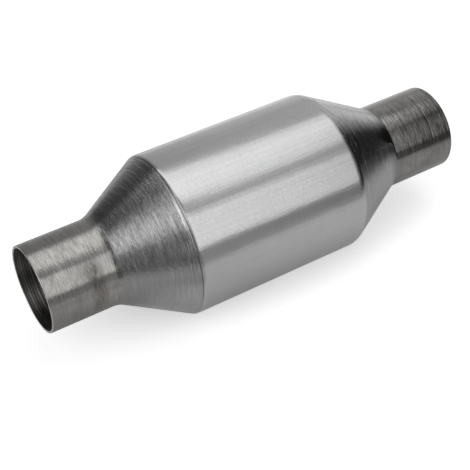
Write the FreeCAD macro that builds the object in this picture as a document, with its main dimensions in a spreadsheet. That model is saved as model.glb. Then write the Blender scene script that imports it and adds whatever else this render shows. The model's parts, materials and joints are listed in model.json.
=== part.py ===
"""Round spun catalytic converter with slip-on necks, standing on its outlet neck.

Z is the flow axis. The outlet neck's end face lies on Z = 0 and the inlet neck opens upwards.
One tube, spun down at both ends, holds a ceramic honeycomb brick in a fibre mat, and a knitted
wire ring guards each edge of the mat.
"""
import FreeCAD, Part
import Sketcher
import math
import os

# Two lengths closer than this are the same one
SAME = 0.001

# A sketch numbers the ends and the centre of its geometry, and its own two axes, like this
START, END, CENTRE = 1, 2, 3
HORIZONTAL, VERTICAL = -1, -2

# Driving sizes in millimetres, and what each one is
SIZES = (
    ("body_diameter", 101.6, "outside diameter of the round body"),
    ("wall_thickness", 1.5, "sheet thickness of the shell"),
    ("neck_bore", 51.1, "inside diameter of both necks, which slip over a 50.8 pipe"),
    ("inlet_neck_length", 43.9, "straight neck at the top, up to the corner with its cone"),
    ("inlet_cone_length", 41.5, "height of the upper cone between its two corners"),
    ("outlet_cone_length", 41.8, "height of the lower cone between its two corners"),
    ("outlet_neck_length", 43.5, "straight neck at the bottom"),
    ("inlet_throat_radius", 15.0, "outer blend where the upper cone meets its neck"),
    ("outlet_throat_radius", 2.5, "outer blend where the lower cone meets its neck"),
    ("inlet_shoulder_radius", 2.3, "inner blend where the upper cone meets the body"),
    ("outlet_shoulder_radius", 8.5, "inner blend where the lower cone meets the body"),
    ("rim_round", 0.3, "rounding of the cut edges at both neck ends"),
    ("brick_length", 101.6, "length of the honeycomb brick"),
    ("brick_end_land", 5.15, "straight body wall beyond each face of the brick"),
    ("mat_gap", 2.8, "space between brick and shell, filled by the mat"),
    ("seat_clearance", 0.1, "clearance of the mat and the wire rings all round"),
    ("channel_pitch", 4.1, "distance between neighbouring channels of the brick"),
    ("web_thickness", 0.55, "wall between two channels"),
    ("skin_thickness", 0.9, "closed outer skin of the brick"),
    ("least_channel_share", 0.15, "a channel cut by the skin to less of its area is left solid"),
    ("seal_width", 6.0, "width of a wire ring along the axis"),
    ("seal_setback", 1.8, "distance of a wire ring from the face of the brick"),
    ("seal_round", 0.9, "rounding of the ring's pressed section"),
    ("tongue_width", 32.0, "width of the mat's tongue along the axis"),
    ("tongue_reach", 17.0, "how far the tongue reaches round the brick"),
    ("joint_gap", 1.2, "gap left where the mat's two ends meet"),
)

# Sizes that follow from the driving ones, as sheet formulas
DERIVED = (
    ("body_radius", "=body_diameter / 2"),
    ("body_inner_radius", "=body_radius - wall_thickness"),
    ("neck_inner_radius", "=neck_bore / 2"),
    ("neck_radius", "=neck_inner_radius + wall_thickness"),
    ("body_length", "=brick_length + 2 * brick_end_land"),
    ("body_bottom", "=outlet_neck_length + outlet_cone_length"),
    ("body_top", "=body_bottom + body_length"),
    ("cone_top", "=body_top + inlet_cone_length"),
    ("overall_length", "=cone_top + inlet_neck_length"),
    ("outlet_shoulder_outer", "=outlet_shoulder_radius + wall_thickness"),
    ("inlet_shoulder_outer", "=inlet_shoulder_radius + wall_thickness"),
    ("brick_radius", "=body_inner_radius - mat_gap"),
    ("brick_core_radius", "=brick_radius - skin_thickness"),
    ("brick_bottom", "=body_bottom + brick_end_land"),
    ("mat_inner_radius", "=brick_radius + seat_clearance"),
    ("mat_outer_radius", "=body_inner_radius - seat_clearance"),
    ("outlet_seal_bottom", "=brick_bottom + seal_setback"),
    ("mat_bottom", "=outlet_seal_bottom + seal_width + seat_clearance"),
    ("mat_length", "=brick_length - 2 * (seal_setback + seal_width + seat_clearance)"),
    ("inlet_seal_bottom", "=mat_bottom + mat_length + seat_clearance"),
    ("tongue_low", "=(mat_length - tongue_width) / 2"),
    ("tongue_high", "=tongue_low + tongue_width"),
    ("groove_low", "=tongue_low - joint_gap"),
    ("groove_high", "=tongue_high + joint_gap"),
    ("groove_reach", "=tongue_reach + joint_gap"),
)

doc = FreeCAD.newDocument("catalytic_converter")
V = FreeCAD.Vector


def make_sheet():
    """The sheet of sizes: driving values above, derived ones below, each with its alias."""
    sheet = doc.addObject("Spreadsheet::Sheet", "sizes")
    row = 0
    for alias, value, meaning in SIZES:
        row += 1
        sheet.set(f"A{row}", alias)
        sheet.set(f"B{row}", str(value))
        sheet.set(f"C{row}", meaning)
        sheet.setAlias(f"B{row}", alias)
    for alias, formula in DERIVED:
        row += 1
        sheet.set(f"A{row}", alias)
        sheet.set(f"B{row}", formula)
        sheet.setAlias(f"B{row}", alias)
    doc.recompute()
    return sheet


sizes = make_sheet()


def new_body(label, base_height=None):
    """An empty body; base_height names the size that its own origin is lifted by."""
    body = doc.addObject("PartDesign::Body", label)
    body.Label = label
    if base_height:
        body.setExpression(".Placement.Base.z", f"sizes.{base_height}")
    doc.recompute()
    return body


def origin_part(body, role):
    """One of the body's own origin planes or axes."""
    for feature in body.Origin.OriginFeatures:
        if feature.Role == role:
            return feature
    raise LookupError(role)


def new_sketch(body, name, plane):
    """An empty sketch on one of the body's origin planes."""
    sketch = body.newObject("Sketcher::SketchObject", name)
    sketch.AttachmentSupport = [(origin_part(body, plane), "")]
    sketch.MapMode = "FlatFace"
    return sketch


def place_point(sketch, geometry, label, x_alias, y_alias):
    """Holds the start of a piece of geometry at two named distances from the sketch's origin.

    None stands for a distance of nothing, which puts the point on the sketch's own axis.
    """
    for kind, axis, alias in (("DistanceX", VERTICAL, x_alias), ("DistanceY", HORIZONTAL, y_alias)):
        if alias is None:
            sketch.addConstraint(Sketcher.Constraint("PointOnObject", geometry, START, axis))
            continue
        value = sizes.get(alias)
        place = sketch.addConstraint(Sketcher.Constraint(kind, HORIZONTAL, START, geometry, START, value))
        sketch.renameConstraint(place, f"{label}_{kind}")
        sketch.setExpression(f".Constraints.{label}_{kind}", f"sizes.{alias}")


def blend_arc(corner, before, after, radius):
    """The arc of a blended corner, and whether it runs forwards from the line before it."""
    inward = (corner - before).normalize()
    outward = (after - corner).normalize()
    turn = inward.getAngle(outward)
    side = math.copysign(1, inward.cross(outward).z)
    start = corner - inward * radius * math.tan(turn / 2)
    centre = start + V(-inward.y, inward.x, 0) * side * radius
    first = math.atan2(start.y - centre.y, start.x - centre.x)
    last = first + side * turn
    circle = Part.Circle(centre, V(0, 0, 1), radius)
    return Part.ArcOfCircle(circle, min(first, last), max(first, last)), side > 0


def add_profile(sketch, corners):
    """A closed outline of lines through corners, each given as two named distances and a blend.

    A corner without a blend is sharp. A blended one keeps a construction point where its two lines
    would cross, which carries the distances, and an arc of the named radius that is tangent to both.
    """
    spots = [V(sizes.get(x) if x else 0, sizes.get(y) if y else 0, 0) for x, y, blend in corners]
    count = len(spots)
    for i in range(count):
        sketch.addGeometry(Part.LineSegment(spots[i], spots[(i + 1) % count]))
    for i, (x_alias, y_alias, blend) in enumerate(corners):
        incoming = (i - 1) % count
        if blend is None:
            sketch.addConstraint(Sketcher.Constraint("Coincident", incoming, END, i, START))
            place_point(sketch, i, f"corner{i}", x_alias, y_alias)
            continue
        point = sketch.addGeometry(Part.Point(spots[i]), True)
        place_point(sketch, point, f"corner{i}", x_alias, y_alias)
        sketch.addConstraint(Sketcher.Constraint("PointOnObject", point, START, incoming))
        sketch.addConstraint(Sketcher.Constraint("PointOnObject", point, START, i))
        radius = sizes.get(blend)
        arc, forwards = blend_arc(spots[i], spots[incoming], spots[(i + 1) % count], radius)
        near_end, far_end = (START, END) if forwards else (END, START)
        bend = sketch.addGeometry(arc)
        sketch.addConstraint(Sketcher.Constraint("Tangent", incoming, END, bend, near_end))
        sketch.addConstraint(Sketcher.Constraint("Tangent", bend, far_end, i, START))
        held = sketch.addConstraint(Sketcher.Constraint("Radius", bend, radius))
        sketch.renameConstraint(held, f"corner{i}_blend")
        sketch.setExpression(f".Constraints.corner{i}_blend", f"sizes.{blend}")


def add_circle(sketch, name, alias):
    """A circle about the axis whose radius is the named size."""
    ring = sketch.addGeometry(Part.Circle(V(0, 0, 0), V(0, 0, 1), sizes.get(alias)))
    sketch.addConstraint(Sketcher.Constraint("Coincident", ring, CENTRE, HORIZONTAL, START))
    place = sketch.addConstraint(Sketcher.Constraint("Radius", ring, sizes.get(alias)))
    sketch.renameConstraint(place, name)
    sketch.setExpression(f".Constraints.{name}", f"sizes.{alias}")


def revolve(body, sketch, name):
    """The outline turned once round the flow axis."""
    turned = body.newObject("PartDesign::Revolution", name)
    turned.Profile = sketch
    turned.ReferenceAxis = (sketch, ["V_Axis"])
    turned.Angle = 360
    doc.recompute()
    return turned


def circles_at(shape, radius, height):
    """Names of the circular edges of one radius at one height above the body's own origin."""
    names = []
    for i, edge in enumerate(shape.Edges):
        curve = edge.Curve
        if not isinstance(curve, Part.Circle):
            continue
        if abs(curve.Radius - radius) < SAME and abs(curve.Center.z - height) < SAME:
            names.append(f"Edge{i + 1}")
    if not names:
        raise LookupError(f"no circle of radius {radius} at height {height}")
    return names


def round_edges(body, base, name, alias, edges):
    """A fillet of the named size along edges of base."""
    fillet = body.newObject("PartDesign::Fillet", name)
    fillet.Base = (base, edges)
    fillet.setExpression("Radius", f"sizes.{alias}")
    doc.recompute()
    return fillet


def make_shell():
    """The spun shell: its outside form turned in one piece, blended, then hollowed to the wall."""
    body = new_body("spun_shell")
    outline = new_sketch(body, "shell_outline", "XZ_Plane")
    add_profile(outline, (
        (None, None, None),
        ("neck_radius", None, None),
        ("neck_radius", "outlet_neck_length", "outlet_throat_radius"),
        ("body_radius", "body_bottom", "outlet_shoulder_outer"),
        ("body_radius", "body_top", "inlet_shoulder_outer"),
        ("neck_radius", "cone_top", "inlet_throat_radius"),
        ("neck_radius", "overall_length", None),
        (None, "overall_length", None),
    ))
    form = revolve(body, outline, "shell_form")
    faces = enumerate(form.Shape.Faces)
    ends = [f"Face{i + 1}" for i, face in faces if isinstance(face.Surface, Part.Plane)]
    hollow = body.newObject("PartDesign::Thickness", "shell_wall")
    hollow.Base = (form, ends)
    hollow.setExpression("Value", "sizes.wall_thickness")
    hollow.Reversed = True
    doc.recompute()
    rims = []
    for radius in ("neck_radius", "neck_inner_radius"):
        for height in (0, sizes.get("overall_length")):
            rims += circles_at(hollow.Shape, sizes.get(radius), height)
    round_edges(body, hollow, "rim_edges", "rim_round", rims)
    return body


def channel_section():
    """The brick's cross-section: a disc pierced by a square grid of channels.

    The grid has a web on the axis in both directions. Channels that the skin crosses keep the part
    inside it, unless too little is left of them.
    """
    pitch = sizes.get("channel_pitch")
    width = pitch - sizes.get("web_thickness")
    core_radius = sizes.get("brick_core_radius")
    half_count = math.ceil(core_radius / pitch)
    steps = [(i + 0.5) * pitch - width / 2 for i in range(-half_count, half_count)]
    grid = Part.makeCompound([Part.makePlane(width, width, V(x, y, 0)) for x in steps for y in steps])
    core = Part.Face(Part.Wire([Part.makeCircle(core_radius)]))
    least_area = sizes.get("least_channel_share") * width ** 2
    walls = [Part.Wire([Part.makeCircle(sizes.get("brick_radius"))])]
    for opening in core.common(grid).Faces:
        if opening.Area > least_area:
            wall = opening.OuterWire
            wall.reverse()
            walls.append(wall)
    section = doc.addObject("Part::Feature", "channel_section")
    section.Shape = Part.Face(walls)
    section.setExpression(".Placement.Base.z", "sizes.brick_bottom")
    return section


def make_brick():
    """The honeycomb brick: its section drawn out along the axis, as the clay is extruded."""
    brick = doc.addObject("Part::Extrusion", "catalyst_brick")
    brick.Label = "catalyst_brick"
    brick.Base = channel_section()
    brick.DirMode = "Custom"
    brick.Dir = V(0, 0, 1)
    brick.setExpression("LengthFwd", "sizes.brick_length")
    brick.Solid = True
    doc.recompute()
    return brick


def make_mat():
    """The mat: one sheet wrapped round the brick, its ends meeting in a tongue and a groove."""
    body = new_body("support_mat", "mat_bottom")
    wrap = new_sketch(body, "mat_wrap", "XY_Plane")
    add_circle(wrap, "inside", "mat_inner_radius")
    add_circle(wrap, "outside", "mat_outer_radius")
    pad = body.newObject("PartDesign::Pad", "mat_sheet")
    pad.Profile = wrap
    pad.setExpression("Length", "sizes.mat_length")
    doc.recompute()
    joint = new_sketch(body, "mat_joint_line", "XZ_Plane")
    add_profile(joint, (
        (None, None, None),
        (None, "tongue_low", None),
        ("tongue_reach", "tongue_low", None),
        ("tongue_reach", "tongue_high", None),
        (None, "tongue_high", None),
        (None, "mat_length", None),
        ("joint_gap", "mat_length", None),
        ("joint_gap", "groove_high", None),
        ("groove_reach", "groove_high", None),
        ("groove_reach", "groove_low", None),
        ("joint_gap", "groove_low", None),
        ("joint_gap", None, None),
    ))
    slit = body.newObject("PartDesign::Pocket", "mat_joint")
    slit.Profile = joint
    slit.Type = "ThroughAll"
    doc.recompute()
    if slit.Shape.Volume > pad.Shape.Volume - SAME:
        raise ValueError("the mat's joint cuts nothing")
    return body


def make_seal(label, base_height):
    """A knitted wire ring, pressed to a rounded section between brick and shell."""
    body = new_body(label, base_height)
    section = new_sketch(body, f"{label}_section", "XZ_Plane")
    add_profile(section, (
        ("mat_inner_radius", None, None),
        ("mat_outer_radius", None, None),
        ("mat_outer_radius", "seal_width", None),
        ("mat_inner_radius", "seal_width", None),
    ))
    ring = revolve(body, section, f"{label}_ring")
    edges = []
    for radius in ("mat_inner_radius", "mat_outer_radius"):
        for height in (0, sizes.get("seal_width")):
            edges += circles_at(ring.Shape, sizes.get(radius), height)
    round_edges(body, ring, f"{label}_round", "seal_round", edges)
    return body


def check_and_write(parts):
    """Every object has to be free of errors and every part valid before any file is written."""
    doc.recompute()
    for item in doc.Objects:
        if "Invalid" in item.State or "Error" in item.State:
            raise RuntimeError(f"{item.Name} did not compute: {item.State}")
    for part in parts:
        shape = part.Shape
        if shape.isNull() or not shape.isValid():
            raise RuntimeError(f"{part.Label} is not a valid solid")
        if len(shape.Solids) != 1:
            raise RuntimeError(f"{part.Label} has {len(shape.Solids)} solids")
    os.makedirs("parts", exist_ok=True)
    for part in parts:
        part.Shape.exportStep(f"parts/{part.Label}.step")
        box = part.Shape.BoundBox
        print(f"{part.Label}: {part.Shape.Volume:.1f} mm3, z {box.ZMin:.3f} to {box.ZMax:.3f}")


check_and_write([
    make_shell(),
    make_brick(),
    make_mat(),
    make_seal("inlet_end_seal", "inlet_seal_bottom"),
    make_seal("outlet_end_seal", "outlet_seal_bottom"),
])
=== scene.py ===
"""Catalytic converter with a spun one-piece shell: its pieces, finishes, stage and camera."""

import json
import math

import bpy
import numpy as np
from mathutils import Matrix, Vector


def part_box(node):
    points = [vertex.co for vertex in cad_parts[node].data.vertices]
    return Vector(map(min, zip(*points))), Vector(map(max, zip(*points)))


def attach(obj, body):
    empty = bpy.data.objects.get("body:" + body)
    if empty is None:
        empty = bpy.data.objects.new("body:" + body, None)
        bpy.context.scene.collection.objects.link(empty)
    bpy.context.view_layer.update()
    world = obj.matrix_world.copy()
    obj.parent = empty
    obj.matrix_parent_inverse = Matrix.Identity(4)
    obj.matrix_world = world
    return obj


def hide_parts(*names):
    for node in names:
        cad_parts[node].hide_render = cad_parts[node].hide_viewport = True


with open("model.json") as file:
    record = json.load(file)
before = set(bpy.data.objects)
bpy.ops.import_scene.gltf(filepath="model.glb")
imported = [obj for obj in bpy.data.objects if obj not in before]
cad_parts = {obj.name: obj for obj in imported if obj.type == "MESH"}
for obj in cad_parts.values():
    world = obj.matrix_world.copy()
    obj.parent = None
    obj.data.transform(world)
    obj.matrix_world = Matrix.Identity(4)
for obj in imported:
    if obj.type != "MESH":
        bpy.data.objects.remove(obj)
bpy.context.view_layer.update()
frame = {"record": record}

bl_info = {
    "name": "Catalytic converter",
    "version": (1, 0, 0),
    "blender": (4, 5, 0),
    "location": "3D View > Sidebar > Converter",
    "description": "Builds a spun steel converter shell round its honeycomb brick, mat and seals",
    "category": "Object",
}

SHELL_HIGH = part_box("spun_shell")[1]
BODY_RADIUS, SHELL_TOP = SHELL_HIGH[0], SHELL_HIGH[2]
BRICK_LOW, BRICK_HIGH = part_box("catalyst_brick")
MOUNTS = {mount["name"]: mount for mount in frame["record"]["mounts"]}
NECK_RADIUS = MOUNTS["inlet_neck"]["dims"]["r_mm"] / 1000
BORE_RADIUS = MOUNTS["inlet_bore"]["dims"]["r_mm"] / 1000
SEED = 41


# Shader values

class Shade:
    """A socket of a material's node tree, on which Python's operators add the nodes they name."""

    def __init__(self, tree, socket=None):
        self.tree = tree
        self.socket = socket

    def make(self, kind, settings=None, values=None, output=0):
        """Adds any node: its settings first, then the values or links of its sockets."""
        node = self.tree.nodes.new("ShaderNode" + kind)
        for name, value in (settings or {}).items():
            setattr(node, name, value)
        for name, value in (values or {}).items():
            if isinstance(value, Shade):
                self.tree.links.new(value.socket, node.inputs[name])
            else:
                node.inputs[name].default_value = value
        return Shade(self.tree, node.outputs[output]) if len(node.outputs) else None

    def is_wide(self):
        return self.socket.type in ("VECTOR", "RGBA")

    def math(self, operation, other=None, swap=False):
        """The node for one operation on this value and another, which may be a number."""
        wide = self.is_wide() or (isinstance(other, Shade) and other.is_wide())
        if wide and isinstance(other, (int, float)):
            other = (other, other, other)
        pair = [self] if other is None else ([other, self] if swap else [self, other])
        kind = "VectorMath" if wide else "Math"
        return self.make(kind, {"operation": operation}, dict(enumerate(pair)))

    def __add__(self, other):
        return self.math("ADD", other)

    __radd__ = __add__

    def __sub__(self, other):
        return self.math("SUBTRACT", other)

    def __rsub__(self, other):
        return self.math("SUBTRACT", other, True)

    def __mul__(self, other):
        return self.math("MULTIPLY", other)

    __rmul__ = __mul__

    def __truediv__(self, other):
        return self.math("DIVIDE", other)

    def __pow__(self, other):
        return self.math("POWER", other)

    def rise(self, low, high, start=0.0, end=1.0):
        """A smooth step from start to end as this value goes from low to high."""
        return self.make("MapRange", {"interpolation_type": "SMOOTHSTEP"}, {
            "Value": self, "From Min": low, "From Max": high, "To Min": start, "To Max": end})

    def band(self, low, high, soft):
        """One between low and high and nothing outside, with edges as wide as soft."""
        return self.rise(low - soft, low + soft) * self.rise(high - soft, high + soft, 1.0, 0.0)

    def blend(self, first, second):
        """The first colour where this value is 0 and the second where it is 1."""
        return self.make("Mix", {"data_type": "RGBA"}, {0: self, 6: first, 7: second}, 2)

    def noise(self, scale, detail=2.0, roughness=0.5):
        """Smooth noise from 0 to 1 at this place, with the scale given for each axis."""
        return self.make("TexNoise", {}, {
            "Vector": self * scale, "Scale": 1.0, "Detail": detail, "Roughness": roughness})

    def parts(self):
        """The three numbers of this place."""
        split = self.make("SeparateXYZ", {}, {0: self})
        node = split.socket.node
        return [Shade(self.tree, node.outputs[k]) for k in range(3)]


def grey(level, warmth=0.0):
    """A colour of one level, warmer where warmth is above 0."""
    return (level * (1 + warmth), level, level * (1 - 1.6 * warmth), 1.0)


def new_material(name):
    """A material with an empty tree, and the place on the piece as its first value."""
    material = bpy.data.materials.new(name)
    material.use_nodes = True
    tree = material.node_tree
    tree.nodes.clear()
    place = Shade(tree).make("TexCoord", output="Object")
    return material, place


def finish_material(material, place, base, rough, bump, bump_depth, **fixed):
    """The surface shader: what changes over the surface is linked, and the rest is set on it."""
    normal = place.make("Bump", {}, {"Height": bump, "Strength": 1.0, "Distance": bump_depth})
    values = {"Base Color": base, "Roughness": rough, "Normal": normal}
    values.update({name.replace("_", " "): value for name, value in fixed.items()})
    shader = place.make("BsdfPrincipled", {}, values)
    place.make("OutputMaterial", {}, {"Surface": shader})
    return material


# Meshes

def grid_faces(rows, columns, wrap_rows, wrap_columns):
    """Four-cornered faces between the neighbours of a grid of points, as rows of indices."""
    r = np.arange(rows if wrap_rows else rows - 1)
    c = np.arange(columns if wrap_columns else columns - 1)
    r, c = np.meshgrid(r, c, indexing="ij")
    r2, c2 = (r + 1) % rows, (c + 1) % columns
    faces = np.stack([r * columns + c, r * columns + c2, r2 * columns + c2, r2 * columns + c], -1)
    return faces.reshape(-1, 4)


def signed_volume(points, faces):
    """Volume inside the faces, below zero when they point inwards."""
    a, b, c, d = (points[faces[:, k]] for k in range(4))
    return float((a * (np.cross(b, c) + np.cross(c, d))).sum() / 6)


def add_piece(name, points, faces, materials, nodes, smooth=True, index=None):
    """An object of these points and faces that stands for CAD nodes and rides on the root body."""
    points = np.asarray(points, dtype=np.float64).reshape(-1, 3)
    if signed_volume(points, faces) < 0:
        faces = faces[:, ::-1]
    mesh = bpy.data.meshes.new(name)
    mesh.vertices.add(len(points))
    mesh.vertices.foreach_set("co", points.astype(np.float32).ravel())
    mesh.loops.add(faces.size)
    mesh.loops.foreach_set("vertex_index", faces.astype(np.int32).ravel())
    mesh.polygons.add(len(faces))
    mesh.polygons.foreach_set("loop_start", np.arange(0, faces.size, 4, dtype=np.int32))
    for material in materials:
        mesh.materials.append(material)
    if index is not None:
        mesh.polygons.foreach_set("material_index", index.astype(np.int32))
    mesh.update(calc_edges=True)
    mesh.validate()
    mesh.polygons.foreach_set("use_smooth", np.full(len(mesh.polygons), smooth))
    mesh.update()
    piece = bpy.data.objects.new(name, mesh)
    bpy.context.scene.collection.objects.link(piece)
    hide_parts(*nodes)
    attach(piece, "root")
    return piece


# greatest distance between points on the arc of a blend
ARC_SPACING = 0.0004


def blended_line(corners, spacing):
    """Points along straight runs joined by tangent arcs.

    Each corner is (z, r, blend radius). A run stops short of its corner by the blend radius times
    the tangent of half the turn, and the arc sweeps round a centre that lies a blend radius off
    both runs. Points lie about spacing apart, and each run has its own spacing."""
    corners = np.asarray(corners, dtype=float)
    at, blend = corners[:, :2], corners[:, 2]
    steps = np.diff(at, axis=0)
    ways = steps / np.linalg.norm(steps, axis=1)[:, None]
    points = [at[:1]]
    last = at[0]
    for k in range(1, len(at)):
        if k == len(at) - 1:
            stop = at[k]
        else:
            before, after = ways[k - 1], ways[k]
            turn = math.atan2(before[0] * after[1] - before[1] * after[0], before @ after)
            stop = at[k] - before * blend[k] * math.tan(abs(turn) / 2)
        count = max(2, int(np.linalg.norm(stop - last) / spacing[k - 1]) + 1)
        points.append(last + (stop - last) * np.linspace(0, 1, count + 1)[1:, None])
        if k < len(at) - 1:
            side = math.copysign(1.0, turn) * np.array([-before[1], before[0]])
            centre = stop + side * blend[k]
            count = max(6, int(blend[k] * abs(turn) / ARC_SPACING))
            angles = np.linspace(0, turn, count + 1)[1:]
            arm = stop - centre
            points.append(centre + np.stack([
                arm[0] * np.cos(angles) - arm[1] * np.sin(angles),
                arm[0] * np.sin(angles) + arm[1] * np.cos(angles)], -1))
            last = points[-1][-1]
    return np.concatenate(points)


def line_normals(line):
    """Unit normals of a line of (z, r) points, on the side of growing r."""
    way = np.gradient(line, axis=0)
    way /= np.linalg.norm(way, axis=1)[:, None]
    return np.stack([-way[:, 1], way[:, 0]], -1)


def turned(line, count):
    """A line of (z, r) points carried round Z: x = r cos a, y = r sin a, at count angles a."""
    a = np.linspace(0, 2 * math.pi, count, endpoint=False)
    z, r = line[:, :1], line[:, 1:]
    return np.stack([r * np.cos(a), r * np.sin(a), z + 0 * a], -1)


# Settings

class ShellSettings(bpy.types.PropertyGroup):
    """Sizes and colours of the spun shell."""

    wall: bpy.props.FloatProperty(
        name="Wall", description="Thickness of the shell's wall",
        default=NECK_RADIUS - BORE_RADIUS, unit="LENGTH", precision=4)
    body_radius: bpy.props.FloatProperty(
        name="Body radius", description="Outer radius of the body", default=BODY_RADIUS,
        unit="LENGTH", precision=4)
    neck_radius: bpy.props.FloatProperty(
        name="Neck radius", description="Outer radius of both necks", default=NECK_RADIUS,
        unit="LENGTH", precision=4)
    segments: bpy.props.IntProperty(
        name="Segments", description="Steps round the shell", default=120, min=24)
    ring_depth: bpy.props.FloatProperty(
        name="Ring depth", description="Depth of the deepest turned ring", default=0.00012,
        unit="LENGTH", precision=5)
    ridge_depth: bpy.props.FloatProperty(
        name="Ridge depth", description="Height of the turning marks inside the inlet neck",
        default=0.00018, unit="LENGTH", precision=5)
    body_colour: bpy.props.FloatVectorProperty(
        name="Body colour", description="Steel of the body", subtype="COLOR",
        default=(0.60, 0.60, 0.605))
    end_colour: bpy.props.FloatVectorProperty(
        name="End colour", description="Steel of the cones", subtype="COLOR",
        default=(0.42, 0.42, 0.42))
    inlet_colour: bpy.props.FloatVectorProperty(
        name="Inlet neck colour", description="Steel of the inlet neck", subtype="COLOR",
        default=(0.390, 0.382, 0.368))
    outlet_colour: bpy.props.FloatVectorProperty(
        name="Outlet neck colour", description="Steel of the outlet neck", subtype="COLOR",
        default=(0.285, 0.279, 0.268))
    stain_colour: bpy.props.FloatVectorProperty(
        name="Stain colour", description="Brown stain beside the inlet neck", subtype="COLOR",
        default=(0.125, 0.088, 0.076))


class BrickSettings(bpy.types.PropertyGroup):
    """Sizes and colour of the honeycomb brick."""

    pitch: bpy.props.FloatProperty(
        name="Channel pitch", description="Distance from channel to channel", default=0.00127,
        unit="LENGTH", precision=5)
    web: bpy.props.FloatProperty(
        name="Web", description="Thickness of the webs between channels", default=0.00019,
        unit="LENGTH", precision=5)
    skin: bpy.props.FloatProperty(
        name="Skin", description="Thickness of the skin round the channels", default=0.0009,
        unit="LENGTH", precision=5)
    colour: bpy.props.FloatVectorProperty(
        name="Colour", description="Washcoated ceramic", subtype="COLOR",
        default=(0.62, 0.52, 0.39))


class PackingSettings(bpy.types.PropertyGroup):
    """Sizes and colours of the mat and of the wire seals."""

    inner_radius: bpy.props.FloatProperty(
        name="Inner radius", description="Inner radius of the mat and the rings",
        default=0.0466, unit="LENGTH", precision=4)
    tongue_width: bpy.props.FloatProperty(
        name="Tongue width", description="Width of the mat's tongue along the axis",
        default=0.0320, unit="LENGTH", precision=4)
    tongue_reach: bpy.props.FloatProperty(
        name="Tongue reach", description="How far the tongue reaches round the brick",
        default=0.0170, unit="LENGTH", precision=4)
    joint_gap: bpy.props.FloatProperty(
        name="Joint gap", description="Gap left where the mat's two ends meet",
        default=0.0012, unit="LENGTH", precision=4)
    joint_side: bpy.props.IntProperty(
        name="Joint side", description="Side of the converter on which the joint lies",
        default=1, min=-1, max=1)
    wire_depth: bpy.props.FloatProperty(
        name="Wire depth", description="Depth of the hollows between the knitted wires",
        default=0.00035, unit="LENGTH", precision=5)
    mat_colour: bpy.props.FloatVectorProperty(
        name="Mat colour", description="Ceramic fibre of the mat", subtype="COLOR",
        default=(0.62, 0.57, 0.47))
    wire_colour: bpy.props.FloatVectorProperty(
        name="Wire colour", description="Knitted wire of the seals", subtype="COLOR",
        default=(0.46, 0.45, 0.43))


class StageSettings(bpy.types.PropertyGroup):
    """Floor, light tent and camera."""

    tent_radius: bpy.props.FloatProperty(
        name="Tent radius", description="Radius of the light tent", default=0.40, unit="LENGTH")
    focal_length: bpy.props.FloatProperty(
        name="Focal length", description="Camera lens in millimetres", default=89.69)
    floor_glow: bpy.props.FloatProperty(
        name="Floor glow", description="Own light of the floor near the converter", default=0.50)
    floor_fade: bpy.props.FloatProperty(
        name="Floor fade", description="Light the floor gains away from it", default=0.18)
    floor_in_metal: bpy.props.FloatProperty(
        name="Floor in metal", description="Light of the far floor that metal shows", default=0.60)


SETTINGS = {
    "converter_shell": ShellSettings,
    "converter_brick": BrickSettings,
    "converter_packing": PackingSettings,
    "converter_stage": StageSettings,
}


# The spun shell

# lengths along the axis, as the outline has them
OUTLET_NECK, OUTLET_CONE, INLET_CONE, INLET_NECK = 0.0435, 0.0418, 0.0415, 0.0439
# heights at which the outlet neck, the outlet cone and the body end, and the inlet neck starts
NECK_OUT = OUTLET_NECK
CONE_OUT = NECK_OUT + OUTLET_CONE
CONE_IN = SHELL_TOP - INLET_NECK
BODY_TOP = CONE_IN - INLET_CONE
# blend radii of the outside at those four heights, and the round of both rims
THROAT_OUT, SHOULDER_OUT, SHOULDER_IN, THROAT_IN = 0.0025, 0.0100, 0.0038, 0.0150
RIM_ROUND = 0.0003

# turned rings: lowest and highest place, how many, and greatest depth as a share of the deepest,
# and the range of their widths
RING_BANDS = (
    (0.0010, 0.0420, 46, 0.10), (0.0460, 0.0820, 12, 0.05),
    (0.2000, 0.2350, 40, 0.22), (0.2370, 0.2815, 46, 0.20))
RING_WIDTHS = (0.00018, 0.00042)
# rings that stand out: place, width and depth as a share of the deepest
DEEP_RINGS = (
    (0.0143, 0.00045, 0.6), (0.0025, 0.00040, 0.4), (0.0086, 0.00035, 0.2),
    (0.0212, 0.00040, 0.2), (0.1986, 0.00035, 0.8), (0.0820, 0.00040, 0.1))
# rings cut in the outlet neck, painted dark as shade in them: lower and upper edge, and how dark
SHADED_GROOVES = (
    (0.0140, 0.0147, 1.0), (0.0022, 0.0028, 0.8), (0.0084, 0.0088, 0.4), (0.0210, 0.0214, 0.4))
# turning marks inside the inlet neck: their pitch, and how it wanders, as shares and rates
RIDGE_PITCH = 0.0023
RIDGE_WANDER = ((0.35, 900.0), (0.2, 2150.0))


def ring_marks(z, own_depth):
    """How deep the turned rings cut at each height: sums of narrow bell curves.

    Seeded rings of random place, width and depth on the necks and cones, then the few deep ones
    that stand out, each as depth times exp(-((z - place) / width) squared)."""
    draw = np.random.default_rng(SEED)
    rings = []
    for low, high, count, depth in RING_BANDS:
        place = draw.uniform(low, high, count)
        width = draw.uniform(*RING_WIDTHS, count)
        share = draw.uniform(0.1, 1.0, count) ** 2 * depth
        rings.append(np.stack([place, width, share], -1))
    place, width, share = np.concatenate([*rings, DEEP_RINGS]).T
    bells = np.exp(-((z[:, None] - place) / width) ** 2) * share
    return own_depth * bells.sum(1)


def ridge_phase(z, sine):
    """Phase of the turning marks inside the inlet neck, for heights or for a shader's height.

    It is 2 pi times z over the pitch, plus shares of sine waves that make the pitch uneven."""
    wander = sum(share * sine(z * rate) for share, rate in RIDGE_WANDER)
    return (z / RIDGE_PITCH + wander) * (2 * math.pi)


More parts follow.
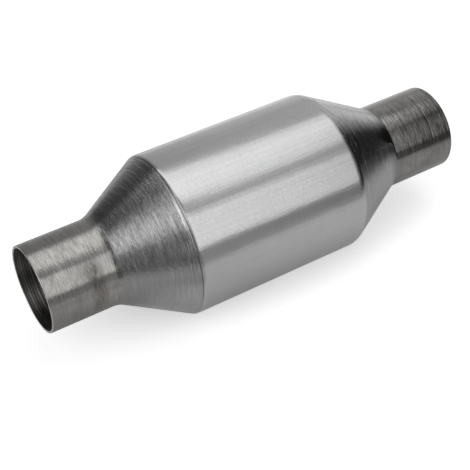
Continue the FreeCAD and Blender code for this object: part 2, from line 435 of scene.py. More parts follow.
def inner_ridges(z, depth):
    """How far the turning marks inside the inlet neck stand in from the wall at each height.

    Raised to the third power, half a sine wave of uneven pitch gives narrow ridges with wide
    valleys, and they fade out before the rim and before the cone."""
    past_cone = np.clip((z - CONE_IN - 0.002) / 0.004, 0, 1)
    before_rim = np.clip((SHELL_TOP - 0.0025 - z) / 0.002, 0, 1)
    return depth * past_cone * before_rim * (0.5 + 0.5 * np.sin(ridge_phase(z, np.sin))) ** 3


def rim_line(neck, wall):
    """The upper rim as a line of (z, r): a quarter circle in from each side of the wall."""
    inner = neck - wall
    a = np.linspace(0, math.pi / 2, 4)[1:]
    outer_round = np.stack([SHELL_TOP - RIM_ROUND + RIM_ROUND * np.sin(a),
                            neck - RIM_ROUND + RIM_ROUND * np.cos(a)], -1)
    inner_round = np.stack([SHELL_TOP - RIM_ROUND + RIM_ROUND * np.cos(a - a[0]),
                            inner + RIM_ROUND - RIM_ROUND * np.sin(a - a[0])], -1)
    return np.concatenate([outer_round, inner_round])


def shell_line(settings):
    """The closed line of the shell's wall: outside going up, the rim, inside going down, the rim.

    The inside is the outside moved inwards by the wall along its normals. It has every point in
    the inlet neck, where the turning marks are, and every fourth one below."""
    neck, body, wall = settings.neck_radius, settings.body_radius, settings.wall
    fine, coarse = 0.00036, 0.0020
    outside = blended_line([
        (RIM_ROUND, neck, 0), (NECK_OUT, neck, THROAT_OUT), (CONE_OUT, body, SHOULDER_OUT),
        (BODY_TOP, body, SHOULDER_IN), (CONE_IN, neck, THROAT_IN), (SHELL_TOP - RIM_ROUND, neck, 0)],
        [fine, fine, coarse, fine, fine])
    normals = line_normals(outside)
    inside = outside - (wall + inner_ridges(outside[:, 0], settings.ridge_depth))[:, None] * normals
    chosen = (inside[:, 0] > CONE_IN) | (np.arange(len(inside)) % 4 == 0)
    chosen[[0, -1]] = True
    inside = inside[chosen][::-1]
    cut = ring_marks(outside[:, 0], settings.ring_depth)
    outside = outside - cut[:, None] * normals
    upper = rim_line(neck, wall)
    lower = upper[::-1] * [-1, 1] + [SHELL_TOP, 0]
    line = np.concatenate([outside, upper, inside[1:-1], lower])
    is_inside = np.zeros(len(line), bool)
    is_inside[len(outside) + len(upper) - 1:len(outside) + len(upper) + len(inside) - 1] = True
    return line, is_inside


class SteelSurface:
    """Place, masks and noises that the finish of the shell's outside is worked out from.

    The turn is the angle round Z from +X, and the far turn the one from -X towards -Y. A mask is
    1 on its own stretch or side and 0 elsewhere. A noise that changes fastest along Z gives lines
    round the shell, as turning and brushing leave them, and drawn and dent lie along it."""

    def __init__(self, p):
        x, y, z = p.parts()
        self.z = z
        self.turn = y.math("ARCTAN2", x)
        self.far_turn = (-1 * y).math("ARCTAN2", -1 * x)
        self.fine = p.noise((40.0, 40.0, 1500.0), 3.0, 0.65)
        self.broad = p.noise((22.0, 22.0, 420.0), 2.0, 0.5)
        self.grind = p.noise((150.0, 150.0, 1150.0), 4.0, 0.8)
        self.ragged = p.noise((380.0, 380.0, 1000.0), 2.0, 0.6)
        self.drawn = p.noise((640.0, 640.0, 9.0), 2.0, 0.5)
        self.dent = p.noise((170.0, 170.0, 16.0), 3.0, 0.6)
        self.patch = p.noise((130.0, 130.0, 90.0), 3.0, 0.6)
        self.cloud = p.noise((45.0, 45.0, 45.0), 3.0, 0.6)
        self.speck = p.noise((980.0, 980.0, 980.0), 3.0, 0.8)
        self.pit = p.make("TexVoronoi", {"feature": "F1"}, {"Vector": p, "Scale": 240.0})
        scratch = p.noise((55.0, 55.0, 2300.0), 2.0, 0.7)
        self.scores = scratch.rise(0.56, 0.70) - scratch.rise(0.32, 0.44, 1.0, 0.0) * 0.6
        # the side that faces the lights and two bands on it: marks are painted stronger there, as
        # glints and shade
        self.lit = self.turn.band(-2.68, -1.40, 0.15)
        self.glint_side = self.turn.band(-2.72, -1.60, 0.12)
        self.glint_core = self.turn.band(-2.72, -2.05, 0.30)
        self.outlet_neck = z.rise(NECK_OUT - 0.003, NECK_OUT + 0.003, 1.0, 0.0)
        self.outlet_cone = z.band(NECK_OUT, CONE_OUT, 0.003)
        self.outlet_shoulder = self.outlet_cone * z.rise(CONE_OUT - 0.0213, CONE_OUT - 0.0053)
        self.body = z.band(CONE_OUT - 0.001, BODY_TOP + 0.001, 0.0012)
        self.inlet_cone = z.band(BODY_TOP + 0.001, CONE_IN, 0.001)
        self.inlet_neck = z.rise(CONE_IN - 0.002, CONE_IN + 0.001)
        # a fold at the inlet throat: real in the height, and painted dark as shade on the side that
        # faces the lights
        self.shaded_crease = (z.band(CONE_IN - 0.0012, CONE_IN + 0.0012, 0.0006)
                       * self.turn.band(-2.80, -1.75, 0.12) * self.grind.rise(0.42, 0.56))
        stained = (self.far_turn + (self.cloud - 0.5) * 0.8).band(-0.22, 0.80, 0.22)
        self.stain = stained * (z + (self.cloud - 0.5) * 0.006).band(
            CONE_IN + 0.0093, CONE_IN + 0.0183, 0.0030)
        self.rust = self.stain * self.grind.rise(0.40, 0.62)


def steel_grain(s):
    """Brightness, about 1, of turning and brushing lines, uneven tone and scores, with painted
    glints on the lit side.
    """
    hair = (s.fine - 0.5) * (
        s.inlet_cone * 0.34 + s.outlet_neck * 0.85 + s.outlet_cone * 0.20 + 0.10)
    streak = (s.broad - 0.5) * (s.inlet_cone * 0.14 + (s.inlet_neck + s.outlet_neck) * 0.30
                                + s.outlet_cone * 0.14 + 0.04)
    # painted glints: the grinding marks are painted stronger on the side that faces the lights
    ground = (s.grind - 0.5) * (
        s.inlet_neck * (s.glint_side * 1.2 + 0.9) + s.outlet_neck * (s.glint_side * 2.4 + 0.9)
        + s.inlet_cone * (s.glint_side * 2.3 + 0.2) + s.outlet_cone * (s.glint_side * 1.9 + 0.3))
    # painted glints: the body's specks are painted stronger on the side that faces the lights
    tone = ((s.cloud - 0.5) * (s.inlet_neck * 0.22 + s.outlet_neck * 0.45 + 0.10)
            + (s.patch - 0.5) * (s.outlet_neck * 0.7 + s.body * 0.05)
            + (s.speck - 0.5) * s.body * (s.glint_core * 0.10 + s.glint_side * 0.16 + 0.16)
            + (s.drawn - 0.5) * s.body * 0.14)
    # painted glints: the scores are painted stronger on the side that faces the lights
    inlet_shoulder = (s.inlet_cone * s.z.rise(BODY_TOP + 0.0058, BODY_TOP + 0.0238, 1.0, 0.3)
                      * s.far_turn.rise(0.10, 0.45, 0.3, 1.0))
    line = s.scores * (inlet_shoulder * 0.8 + s.outlet_neck * (s.lit * 0.45 + 0.12)
                       + s.inlet_neck * 0.15 + s.outlet_shoulder * 0.35)
    return (1 + hair + streak + ground + tone + line).math("MAXIMUM", 0.15)


def steel_marks(s):
    """What the pits and painted shade at both throats and in the rings leave of the brightness.

    The painted highlight along the inlet shoulder's ring is the one mark that adds to it."""
    # painted shade in the outlet neck's rings, darkest where lit, and in the inlet shoulder's ring
    groove_shade = sum(s.z.band(low, high, 0.0003) * depth for low, high, depth in SHADED_GROOVES)
    groove_shade = groove_shade * (s.lit * 0.9 + 0.1)
    groove_shade = groove_shade + s.z.band(BODY_TOP + 0.0011, BODY_TOP + 0.0015, 0.0003) * 0.6
    pits = (s.pit.rise(0.06, 0.34, 1.0, 0.0) * s.patch.rise(0.46, 0.56)
            * s.z.band(CONE_OUT + 0.0107, BODY_TOP - 0.0072, 0.006)
            * (s.turn.band(-1.65, -1.52, 0.05) + s.turn.band(-2.27, -2.14, 0.05) * 0.5))
    # painted highlight: a lighter line along the inlet shoulder's ring, where the lights reflect
    ring_highlight = (s.turn.band(-2.50, -1.95, 0.18)
                 * s.z.band(BODY_TOP + 0.0018, BODY_TOP + 0.0032, 0.0005))
    # painted shade: the same ring darker on the side towards -X
    ring_shade = (s.far_turn.band(-0.22, 0.42, 0.08)
              * s.z.band(BODY_TOP + 0.0012, BODY_TOP + 0.0017, 0.0002))
    # painted shade in the concave corner where the outlet cone meets its neck
    throat_shade = s.outlet_cone * s.z.rise(NECK_OUT + 0.001, NECK_OUT + 0.009, 0.36, 0.0)
    return ((1 - s.shaded_crease * 0.85) * (1 - groove_shade * 0.70) * (1 - pits * 0.16)
            * (1 + ring_highlight * 0.8) * (1 - ring_shade * 0.5) * (1 - throat_shade))


def steel_colour(s, settings):
    """Steel of each stretch with its grain and marks, then the stain, the soot and the painted
    highlight on the rim edges.
    """
    base = s.body.blend((*settings.end_colour, 1.0), (*settings.body_colour, 1.0))
    base = s.inlet_neck.blend(base, (*settings.inlet_colour, 1.0))
    base = s.outlet_neck.blend(base, (*settings.outlet_colour, 1.0))
    base = base * (steel_grain(s) * steel_marks(s))
    soot = ((s.far_turn + (s.cloud - 0.5) * 0.5).band(0.55, 0.95, 0.15)
            * s.z.band(CONE_IN + 0.0113, CONE_IN + 0.0233, 0.0030) * s.grind.rise(0.42, 0.62))
    # painted highlight: both rim edges painted near white
    rim_highlight = (s.z.rise(SHELL_TOP - 0.00035, SHELL_TOP - 0.00015)
            + s.z.rise(0.00015, 0.00035, 1.0, 0.0))
    base = (s.rust * 0.50 + s.stain * 0.18).blend(base, (*settings.stain_colour, 1.0))
    base = (soot * 0.60).blend(base, grey(0.10))
    return rim_highlight.blend(base, grey(0.85))


def steel_roughness(s):
    """Satin, smoother on the outlet's cone and neck, rougher at its shoulder and in the stain."""
    return (0.26 + (s.fine - 0.5) * ((1 - s.body) * 0.10 + 0.02) + s.rust * 0.25
            + s.scores * s.outlet_shoulder * 0.22 - s.outlet_cone * 0.14 - s.outlet_neck * 0.06)


def steel_height(s):
    """Height of the fine lines, the grinding marks, the shallow dents and the crease."""
    return ((s.fine - 0.5) * (s.inlet_cone * 2.6 + s.outlet_neck + s.outlet_cone * 0.6
                              + s.outlet_shoulder * 1.6 + 0.04)
            + (s.dent - 0.5) * (s.body * 4.5 + s.outlet_cone * 2.0)
            + (s.grind - 0.5) * (s.inlet_neck * 2.2 + s.outlet_neck * 2.0 + s.inlet_cone * 3.4)
            + (s.ragged - 0.5) * (s.inlet_neck * 2.8 + s.outlet_neck * 2.4 + s.inlet_cone * 6.5)
            + (s.patch - 0.5) * s.body * 3.0 + (s.drawn - 0.5) * s.body
            - s.shaded_crease * 1.5)


def steel_outside(settings):
    """Spun stainless steel: satin body, darker turned cones and necks, scuffs, a stain and painted
    light and shade.
    """
    material, p = new_material("Spun steel outside")
    s = SteelSurface(p)
    return finish_material(
        material, p, steel_colour(s, settings), steel_roughness(s), steel_height(s), 0.00002,
        Metallic=1.0, Anisotropic=0.88, Anisotropic_Rotation=0.25)


def steel_inside():
    """The shell's inner face: duller steel with turning rings, painted light on their crests and
    dark between them.
    """
    material, p = new_material("Spun steel inside")
    z = p.parts()[2]
    fine = p.noise((30.0, 30.0, 900.0), 3.0, 0.6)
    cloud = p.noise((60.0, 60.0, 60.0), 3.0, 0.6)
    in_neck = z.rise(CONE_IN + 0.002, CONE_IN + 0.006)
    phase = ridge_phase(z, lambda value: value.math("SINE")) + (cloud - 0.5) * 3.0
    ridge_glint = in_neck * (0.5 + 0.5 * phase.math("SINE")) ** 3.0
    base = cloud.blend(grey(0.22, 0.03), grey(0.30, 0.03)) * (0.75 + fine * 0.5)
    # painted glints on the crests of the turning marks, and painted shade between them
    base = base * (1 + ridge_glint - in_neck * 0.25)
    rough = 0.42 + (fine - 0.5) * 0.15
    return finish_material(
        material, p, base, rough, fine, 0.00002, Metallic=1.0, Anisotropic=0.85,
        Anisotropic_Rotation=0.25)


class CONVERTER_OT_shell(bpy.types.Operator):
    """Build the spun shell from its turned line"""
    bl_idname = "converter.shell"
    bl_label = "Spun shell"

    def execute(self, context):
        settings = context.scene.converter_shell
        line, is_inside = shell_line(settings)
        count = settings.segments
        points = turned(line, count)
        faces = grid_faces(len(line), count, True, True)
        index = np.repeat(is_inside.astype(int), count)
        add_piece("shell_steel_skin", points, faces,
                  [steel_outside(settings), steel_inside()],
                  ["spun_shell"], index=index)
        return {"FINISHED"}


# The honeycomb brick

# a channel that the skin cuts to less than this share of a whole one is filled
LEAST_CHANNEL = 0.2


def honeycomb_section(core, pitch, web):
    """Corners, webs, channels and outer edges of the brick's section inside its skin.

    The section is cut by two sets of lines at each web's faces. A square is a channel when both
    its numbers are even and a web otherwise. Squares whose middle lies inside the skin are kept,
    and each corner on their outer edge is moved along its radius on to the skin."""
    half = int(core / pitch) + 2
    middle = np.arange(-half, half + 1) * pitch
    cuts = np.sort(np.concatenate([middle - (pitch - web) / 2, middle + (pitch - web) / 2]))
    n = len(cuts)
    x, y = np.meshgrid(cuts, cuts, indexing="ij")
    corners = np.stack([x.ravel(), y.ravel()], -1)
    mid = (cuts[1:] + cuts[:-1]) / 2
    mx, my = np.meshgrid(mid, mid, indexing="ij")
    keep = np.hypot(mx, my) < core - web
    i, j = np.meshgrid(np.arange(n - 1), np.arange(n - 1), indexing="ij")
    squares = np.stack([i * n + j, (i + 1) * n + j, (i + 1) * n + j + 1, i * n + j + 1], -1)
    kept = squares[keep]
    edges = np.concatenate([kept[:, [k, (k + 1) % 4]] for k in range(4)])
    _, first, times = np.unique(np.sort(edges, axis=1), axis=0, return_index=True,
                                return_counts=True)
    rim = edges[first[times == 1]]
    on_rim = np.unique(rim)
    corners[on_rim] *= (core / np.hypot(*corners[on_rim].T))[:, None]
    a, b, c, d = (corners[squares[..., k]] for k in range(4))
    across, along = c - a, d - b
    area = 0.5 * np.abs(across[..., 0] * along[..., 1] - along[..., 0] * across[..., 1])
    is_channel = keep & (i % 2 == 0) & (j % 2 == 0) & (area > LEAST_CHANNEL * (pitch - web) ** 2)
    return corners, squares[keep & ~is_channel], squares[is_channel], rim


def honeycomb(low, high, radius, pitch, web, skin):
    """Points and faces of a round brick with square channels from end to end.

    Webs lie in both end faces, and the sides of the channels run between them. The skin is a
    strip from the section's outer edge to the same directions on the brick's side."""
    core = radius - skin
    corners, webs, channels, rim = honeycomb_section(core, pitch, web)
    used, on_rim = np.unique(np.concatenate([webs, channels])), np.unique(rim)
    number = np.full(len(corners), -1)
    number[used] = np.arange(len(used))
    outer = np.full(len(corners), -1)
    outer[on_rim] = np.arange(len(on_rim)) + len(used)
    section = np.concatenate([corners[used], corners[on_rim] * (radius / core)])
    count = len(section)
    bottom = np.column_stack([section, np.full(count, low)])
    top = np.column_stack([section, np.full(count, high)])
    webs, channels, rim_in, rim_out = number[webs], number[channels], number[rim], outer[rim]
    ring = np.column_stack([rim_in[:, 1], rim_in[:, 0], rim_out[:, 0], rim_out[:, 1]])
    ends = np.concatenate([webs, ring])
    walls = np.concatenate([
        np.column_stack([channels[:, k], channels[:, (k + 1) % 4],
                         channels[:, (k + 1) % 4] + count, channels[:, k] + count])[:, ::-1]
        for k in range(4)])
    side = np.column_stack([rim_out, rim_out[:, ::-1] + count])
    faces = np.concatenate([ends[:, ::-1], ends + count, walls, side])
    return np.concatenate([bottom, top]), faces


def ceramic_brick(settings):
    """Washcoated cordierite: matt, warm and a little uneven from channel to channel."""
    material, p = new_material("Washcoated ceramic")
    cloud = p.noise((70.0, 70.0, 40.0), 3.0, 0.6)
    grain = p.noise((2600.0, 2600.0, 2600.0), 2.0, 0.6)
    colour = settings.colour
    base = cloud.blend((*(c * 0.82 for c in colour), 1.0), (*(c * 1.1 for c in colour), 1.0))
    base = base * (0.85 + grain * 0.3)
    rough = 0.78 + grain * 0.15
    return finish_material(material, p, base, rough, grain, 0.00003)


class CONVERTER_OT_brick(bpy.types.Operator):
    """Build the honeycomb brick with its channels from end to end"""
    bl_idname = "converter.brick"
    bl_label = "Honeycomb brick"

    def execute(self, context):
        settings = context.scene.converter_brick
        points, faces = honeycomb(
            BRICK_LOW[2], BRICK_HIGH[2], BRICK_HIGH[0], settings.pitch, settings.web,
            settings.skin)
        add_piece("catalyst_honeycomb", points, faces, [ceramic_brick(settings)],
                  ["catalyst_brick"], smooth=False)
        return {"FINISHED"}


# The mat and the seals

# quarter circles at the edges of the mat and of the rings
EDGE_ROUND = 0.0009
# the mat's swelling: how many waves, and how far they draw its surface in at most
SWELL_WAVES = 14
SWELL_DEPTH = 0.00022
# waves of the knitted wire round a ring and round its section
LOOPS_AROUND, LOOPS_ACROSS = 90, 5
# points round the axis, and rows of them over half a section
MAT_STEPS, MAT_ROWS = 301, 60
RING_STEPS, RING_ROWS = 720, 16


def fibre_mat(settings):
    """Ceramic fibre with mineral flakes: pale and matt, with golden specks."""
    material, p = new_material("Fibre mat")
    strand = p.noise((700.0, 700.0, 260.0), 4.0, 0.7)
    flake = p.make("TexVoronoi", {"feature": "F1"}, {"Vector": p, "Scale": 420.0})
    chosen = p.noise((420.0, 420.0, 420.0), 0.0).rise(0.58, 0.66)
    colour = settings.mat_colour
    base = strand.blend((*(c * 0.72 for c in colour), 1.0), (*(c * 1.12 for c in colour), 1.0))
    speck = flake.rise(0.25, 0.4, 1.0, 0.0) * chosen
    base = (speck * 0.8).blend(base, (0.36, 0.22, 0.07, 1.0))
    return finish_material(material, p, base, 0.9 - speck * 0.35, strand, 0.0003)


def knitted_wire(settings):
    """Compressed knitted wire: crossed loops as bright wires over gaps in painted shade."""
    material, p = new_material("Knitted wire")
    x, y, z = p.parts()
    turn = y.math("ARCTAN2", x)
    wobble = (p.noise((160.0, 160.0, 160.0), 2.0) - 0.5) * 3.0
    across = turn * 330.0 + wobble
    along = z * 6200.0 + wobble
    left = (across + along).math("SINE")
    right = (across - along).math("SINE")
    wire = left.math("MAXIMUM", right)
    lit = wire.rise(0.2, 0.9)
    colour = settings.wire_colour
    # painted shade: the gaps between the wires are painted near black
    base = lit.blend(grey(0.05, 0.02), (*colour, 1.0))
    return finish_material(material, p, base, 0.42 - lit * 0.1, wire, 0.00025, Metallic=1.0)


def pressed_section(low, high, inner, outer, rounding, count):
    """A closed line of (z, r): a rectangle whose corners are drawn in to quarter circles.

    The line's points come in two halves that face each other, out along the outer side by growing
    z and back along the inner side, so that a row of faces can close the section."""
    step = np.linspace(0, 1, count)
    z = low + (high - low) * (0.5 - 0.5 * np.cos(math.pi * step))
    short = np.clip(rounding - np.minimum(z - low, high - z), 0, rounding)
    inset = rounding - np.sqrt(rounding ** 2 - short ** 2)
    outer_side = np.stack([z, outer - inset], -1)
    inner_side = np.stack([z, inner + inset], -1)
    return np.concatenate([outer_side, inner_side[::-1]])


def wrapped_mat(low, high, inner, outer, settings):
    """Points and faces of one sheet wrapped round Z, from its groove end to its tongue end.

    At height z the sheet starts at the groove's edge, goes once round and stops at the tongue's
    edge, so the angle is start(z) + u (stop(z) - start(z)). Both sides swell and sink by a sum of
    seeded sine waves, always towards the middle of the sheet."""
    gap, reach, width = settings.joint_gap, settings.tongue_reach, settings.tongue_width
    section = pressed_section(low, high, inner, outer, EDGE_ROUND, MAT_ROWS)
    z, r = section.T
    middle = (low + high) / 2
    off = np.abs(z - middle)
    stop = 2 * math.pi + np.where(off < width / 2, reach, 0.0) / outer
    start = np.where(off < width / 2 + gap, reach + gap, gap) / outer
    u = np.linspace(0, 1, MAT_STEPS)[:, None]
    angle = start + u * (stop - start)
    draw = np.random.default_rng(SEED + 1)
    swell = np.zeros_like(angle)
    for wave in range(SWELL_WAVES):
        around, along = draw.integers(5, 60), draw.uniform(60, 900)
        phase = draw.uniform(0, 2 * math.pi)
        swell += np.sin(around * angle + along * z + phase) / SWELL_WAVES
    sink = SWELL_DEPTH * (0.5 + 0.5 * swell)
    half = len(section) // 2
    towards = np.where(np.arange(len(section)) < half, -1.0, 1.0)
    radius = r + towards * sink
    points = np.stack([radius * np.sin(angle), settings.joint_side * radius * np.cos(angle),
                       z + 0 * angle], -1)
    faces = grid_faces(len(u), len(section), False, True)
    k = np.arange(half - 1)
    last = len(section) - 1
    cap = np.column_stack([k, k + 1, last - k - 1, last - k])
    faces = np.concatenate([faces, cap[:, ::-1], cap + (len(u) - 1) * len(section)])
    return points.reshape(-1, 3), faces


def wire_ring(low, high, inner, outer, depth):
    """Points and faces of a ring of knitted wire, pressed to a rounded section.

    Two families of waves cross on its surface, sin(k a + m s) and sin(k a - m s) of the angle a
    and the way s round the section, and the higher of the two stands for the wires. The surface
    lies below the section's line by what they leave free, so the ring stays in its space."""
    section = pressed_section(low, high, inner, outer, EDGE_ROUND, RING_ROWS)
    steps = np.linalg.norm(np.roll(section, -1, 0) - section, axis=1)
    s = np.concatenate([[0], np.cumsum(steps)[:-1]]) / steps.sum() * 2 * math.pi
    middle = np.array([(low + high) / 2, (inner + outer) / 2])
    inwards = middle - section
    inwards /= np.linalg.norm(inwards, axis=1)[:, None]
    a = np.linspace(0, 2 * math.pi, RING_STEPS, endpoint=False)
    along, way = np.meshgrid(s, a, indexing="ij")
    around, across = LOOPS_AROUND * way, LOOPS_ACROSS * along
    wires = np.maximum(np.sin(around + across), np.sin(around - across))
    sink = depth * (1 - wires) / 2
    z = section[:, :1] + inwards[:, :1] * sink
    r = section[:, 1:] + inwards[:, 1:] * sink
    points = np.stack([r * np.cos(a), r * np.sin(a), z], -1)
    return points, grid_faces(len(section), len(a), True, True)


class CONVERTER_OT_packing(bpy.types.Operator):
    """Build the fibre mat and the two wire seals"""
    bl_idname = "converter.packing"
    bl_label = "Mat and seals"

    def execute(self, context):
        settings = context.scene.converter_packing
        low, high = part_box("support_mat")
        inner = settings.inner_radius
        points, faces = wrapped_mat(low[2], high[2], inner, high[0], settings)
        add_piece("fibre_mat_wrap", points, faces, [fibre_mat(settings)],
                  ["support_mat"])
        wire = knitted_wire(settings)
        for node in ("inlet_end_seal", "outlet_end_seal"):
            low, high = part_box(node)
            points, faces = wire_ring(low[2], high[2], inner, high[0], settings.wire_depth)
            add_piece(node.replace("end_seal", "wire_ring"), points, faces, [wire],
                      [node])
        return {"FINISHED"}


# The stage

# the part lies on the floor, which it touches at its body
FLOOR_Y = BODY_RADIUS
FLOOR_REACH = 1.2
TENT_LOW, TENT_HIGH = -0.50, 0.90
# where the camera stands, what it looks at and its roll in degrees, as fitted to the photo
CAMERA_AT = (-0.449778, -0.487962, 0.421931)
CAMERA_AIM = (-0.012480, 0.010939, 0.154713)
CAMERA_ROLL = -0.0350


def add_stage(name, points, faces, material):
    """A surface that isn't part of the object."""
    mesh = bpy.data.meshes.new(name)
    mesh.from_pydata(np.asarray(points).reshape(-1, 3).tolist(), [], np.asarray(faces).tolist())
    mesh.polygons.foreach_set("use_smooth", np.full(len(mesh.polygons), True))
    mesh.materials.append(material)
    surface = bpy.data.objects.new(name, mesh)
    bpy.context.scene.collection.objects.link(surface)
    return surface


def ray_kinds(p):
    """Whether a ray comes from the camera, through glass or off a gloss: three values, 0 or 1."""
    camera = p.make("LightPath", output="Is Camera Ray")
    outputs = camera.socket.node.outputs
    transmission = Shade(p.tree, outputs["Is Transmission Ray"])
    return camera, transmission, Shade(p.tree, outputs["Is Glossy Ray"])


def floor_paint(settings):
    """Pale floor that keeps the shadow, is white in pictures and can be looked through from below.

    Its light grows away from the converter, so that the shadow fades into white. Metal sees it by
    place: with light of its own on the side of +X, and darker past the outlet's end."""
    material, p = new_material("Pale floor")
    camera, transmission, glossy = ray_kinds(p)
    x, _, z = p.parts()
    far_side = (x.rise(0.08, 0.32, 0.12) * x.rise(0.28, 0.38, 1.0, 0.42)
                * z.rise(-0.15, 0.26, 1.35, 0.45) * z.rise(-0.17, -0.07, 0.80, 1.0)
                * z.rise(0.08, 0.17, 1.0, 0.45))
    near_side = x.rise(-0.14, -0.09, 1.0, 0.0)
    beside_cone = z.band(0.196, 0.230, 0.010) * x.rise(-0.02, 0.02, 0.22, 0.0)
    in_metal = glossy * (far_side + near_side * z.band(0.258, 0.300, 0.008) * 0.12 + beside_cone)
    shade = glossy * (z.rise(-0.42, -0.06, 0.92, 0.0) + z.rise(0.238, 0.252) * 0.12
                      + near_side * z.band(0.205, 0.245, 0.008) * 0.50)
    reach = ((x / 0.055).math("POWER", 2.0) + ((z - 0.122) / 0.165).math("POWER", 2.0)) ** 0.5
    strength = settings.floor_glow + reach.rise(0.50, 0.95) * settings.floor_fade
    seen = (camera + transmission).math("MINIMUM", 1.0)
    paint = p.make("BsdfDiffuse", {}, {"Color": shade.blend(grey(0.78), grey(0.0))})
    glow = p.make("Emission", {}, {
        "Color": grey(1.0), "Strength": seen * strength + in_metal * settings.floor_in_metal})
    front = p.make("AddShader", {}, {0: paint, 1: glow})
    clear = p.make("BsdfTransparent")
    behind = p.make("NewGeometry", output="Backfacing")
    both = p.make("MixShader", {}, {0: behind, 1: front, 2: clear})
    p.make("OutputMaterial", {}, {"Surface": both})
    return material


def tent_light():
    """The light tent's windows: soft-edged bright fields by direction round Z and by height.

    The turn is in degrees from -X, over the top at -Y, to +X: 0, 90 and 180. A slant edge lies
    further round where z is higher. Where windows overlap the brightest one counts."""
    material, p = new_material("Light tent")
    x, y, z = p.parts()
    turn = (-1 * y).math("ARCTAN2", -1 * x) * (180 / math.pi)
    turn = turn + turn.math("LESS_THAN", -90.0) * 360.0
    slant = turn - z * 45.0
    off_axis = (x * x + y * y) ** 0.5
    ends = z.band(-0.27, 0.30, 0.05)
    wall = z.rise(-0.34, -0.22) * z.rise(0.20, 0.32, 1.0, 0.0)

    lower_window = (
        turn.rise(10.0, 16.0) * (turn - z * 22.0).rise(55.0, 61.0, 1.0, 0.0) * ends
        * z.rise(-0.18, -0.08, 0.22, 1.0) * z.rise(0.08, 0.17, 1.0, 1.12)
        * (1 - z.band(0.025, 0.080, 0.020) * 0.12))
    upper_start = slant - z.rise(-0.26, -0.03, 22.0, 0.0) - z.rise(0.06, 0.20, 0.0, 4.0)
    upper_end = slant - z.rise(-0.05, 0.06, 0.0, 1.4)
    upper_window = (
        upper_start.rise(66.0, 72.0) * upper_end.rise(118.5, 124.5, 1.0, 0.0) * ends
        * turn.rise(66.0, 112.0, 0.35, 1.0).math("MAXIMUM", z.rise(-0.18, -0.10))
        * z.rise(-0.24, -0.14, 0.50, 1.0) * z.rise(0.05, 0.17, 1.0, 1.1))
    between = (slant.band(50.0, 78.0, 4.0)
               * z.rise(0.0, 0.15, 1.0, 0.75) * z.rise(-0.20, -0.10, 0.35, 1.0))
    above = (slant.band(126.0, 172.0, 6.0)
             * z.rise(0.0, 0.16, 1.0, 0.65) * z.rise(-0.20, -0.10, 1.3, 1.0)
             * turn.rise(116.0, 160.0, 0.6, 1.0).math("MAXIMUM", z.rise(-0.18, -0.12)))
    beyond = (turn.band(164.0, 200.0, 5.0) * z.rise(-0.20, -0.10, 1.05, 1.0)
              * z.rise(-0.15, 0.24, 1.0, 0.50))
    below = turn.band(-20.0, 12.0, 3.0) * z.rise(-0.20, -0.05, 0.3, 1.0)
    inlet_window = (turn.rise(24.0, 68.0) * turn.rise(70.0, 124.0, 1.0, 0.0)
                    * z.band(0.40, 0.74, 0.06))
    inlet_end = z.rise(0.890, 0.899) * (off_axis ** 2.0).rise(0.03, 0.06, 1.0, 0.0)
    outlet_window = turn.band(165.0, 205.0, 11.0) * z.band(-0.60, -0.27, 0.04)
    outlet_end = (turn.rise(92.0, 135.0) * off_axis.rise(0.13, 0.36)
                  * z.rise(-0.30, -0.24, 1.0, 0.0))

    level = z.rise(0.05, 0.25, 0.012, 1.0) * turn.rise(60.0, 95.0, 0.17, 0.05)
    level = level.math("MAXIMUM", 0.012)
    for window, strength in (
            (lower_window, 1.14), (upper_window, 1.26), (between * wall, 0.59),
            (above * wall, 0.52), (beyond * wall, 0.68), (below * wall, 0.34),
            (inlet_window, 1.40), (inlet_end, 1.6), (outlet_window, 0.90), (outlet_end, 0.62)):
        level = level.math("MAXIMUM", window * strength)
    glow = p.make("Emission", {}, {"Color": grey(1.0), "Strength": level})
    p.make("OutputMaterial", {}, {"Surface": glow})
    return material


def tent_points(radius, low, high):
    """Half a tube about Z over the floor, with its end turned in to the axis at both heights.

    The line (z, r) goes from the axis out along the low end, up the wall and back in along the
    high end, and is carried from the floor on one side, over -Y, to the floor on the other."""
    line = np.array([(low, 0.001), (low, radius), (high, radius), (high, 0.001)])
    dip = math.asin(FLOOR_Y / radius)
    a = np.linspace(math.pi - dip, 2 * math.pi + dip, 97)
    z, r = line[:, :1], line[:, 1:]
    return np.stack([r * np.cos(a), r * np.sin(a), z + 0 * a], -1)


def white_background():
    """A world that is white to the camera, in metal and through glass, and lights at half of it."""
    world = bpy.data.worlds.new("Background")
    world.use_nodes = True
    world.node_tree.nodes.clear()
    w = Shade(world.node_tree)
    seen = sum(ray_kinds(w)).math("MINIMUM", 1.0)
    sky = w.make("Background", {}, {"Color": grey(1.0), "Strength": 0.5 + seen * 0.5})
    w.make("OutputWorld", {}, {"Surface": sky})
    return world


def looking(place, aim, roll):
    """The matrix of a camera at a place that looks at a point, rolled from level with -Y up."""
    back = (Vector(place) - Vector(aim)).normalized()
    right = Vector((0.0, -1.0, 0.0)).cross(back).normalized()
    turn = Matrix([right, back.cross(right), back]).transposed().to_4x4()
    return Matrix.Translation(Vector(place)) @ turn @ Matrix.Rotation(math.radians(roll), 4, "Z")


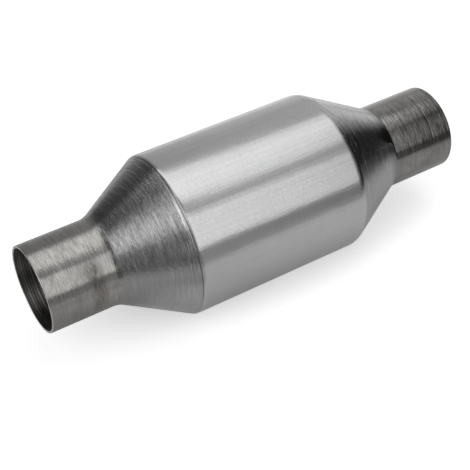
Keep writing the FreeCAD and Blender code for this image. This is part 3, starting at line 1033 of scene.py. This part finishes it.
class CONVERTER_OT_stage(bpy.types.Operator):
    """Lay out the pale floor, the light tent, the background and the camera"""
    bl_idname = "converter.stage"
    bl_label = "Stage and camera"

    def execute(self, context):
        scene = context.scene
        settings = scene.converter_stage
        corners = [(-FLOOR_REACH, FLOOR_Y, -FLOOR_REACH), (FLOOR_REACH, FLOOR_Y, -FLOOR_REACH),
                   (FLOOR_REACH, FLOOR_Y, FLOOR_REACH), (-FLOOR_REACH, FLOOR_Y, FLOOR_REACH)]
        add_stage("pale_floor", corners, [(0, 1, 2, 3)], floor_paint(settings))
        points = tent_points(settings.tent_radius, TENT_LOW, TENT_HIGH)
        faces = grid_faces(points.shape[0], points.shape[1], False, False)
        tent = add_stage("light_tent", points, faces, tent_light())
        tent.visible_camera = False
        tent.visible_transmission = False
        scene.world = white_background()
        lens = bpy.data.cameras.new("Camera")
        lens.lens = settings.focal_length
        lens.sensor_width = 36.0
        camera = bpy.data.objects.new("Camera", lens)
        camera.matrix_world = looking(CAMERA_AT, CAMERA_AIM, CAMERA_ROLL)
        scene.collection.objects.link(camera)
        scene.camera = camera
        scene.view_settings.view_transform = "Standard"
        return {"FINISHED"}


# The sidebar

class CONVERTER_PT_panel(bpy.types.Panel):
    """Lists the steps that build the converter"""
    bl_idname = "CONVERTER_PT_panel"
    bl_label = "Catalytic converter"
    bl_space_type = "VIEW_3D"
    bl_region_type = "UI"
    bl_category = "Converter"

    def draw(self, context):
        for step in STEPS:
            self.layout.operator(step.bl_idname)
        for name, group in SETTINGS.items():
            box = self.layout.box()
            box.label(text=group.__doc__)
            for field in group.__annotations__:
                box.prop(getattr(context.scene, name), field)


STEPS = (CONVERTER_OT_shell, CONVERTER_OT_brick, CONVERTER_OT_packing, CONVERTER_OT_stage)


def register():
    for group in SETTINGS.values():
        bpy.utils.register_class(group)
    for name, group in SETTINGS.items():
        setattr(bpy.types.Scene, name, bpy.props.PointerProperty(type=group))
    for step in STEPS:
        bpy.utils.register_class(step)
    bpy.utils.register_class(CONVERTER_PT_panel)


def unregister():
    bpy.utils.unregister_class(CONVERTER_PT_panel)
    for step in reversed(STEPS):
        bpy.utils.unregister_class(step)
    for name, group in SETTINGS.items():
        delattr(bpy.types.Scene, name)
        bpy.utils.unregister_class(group)


def main():
    """Registers the add-on and builds everything in order."""
    register()
    bpy.ops.converter.shell()
    bpy.ops.converter.brick()
    bpy.ops.converter.packing()
    bpy.ops.converter.stage()


if __name__ == "__main__":
    main()
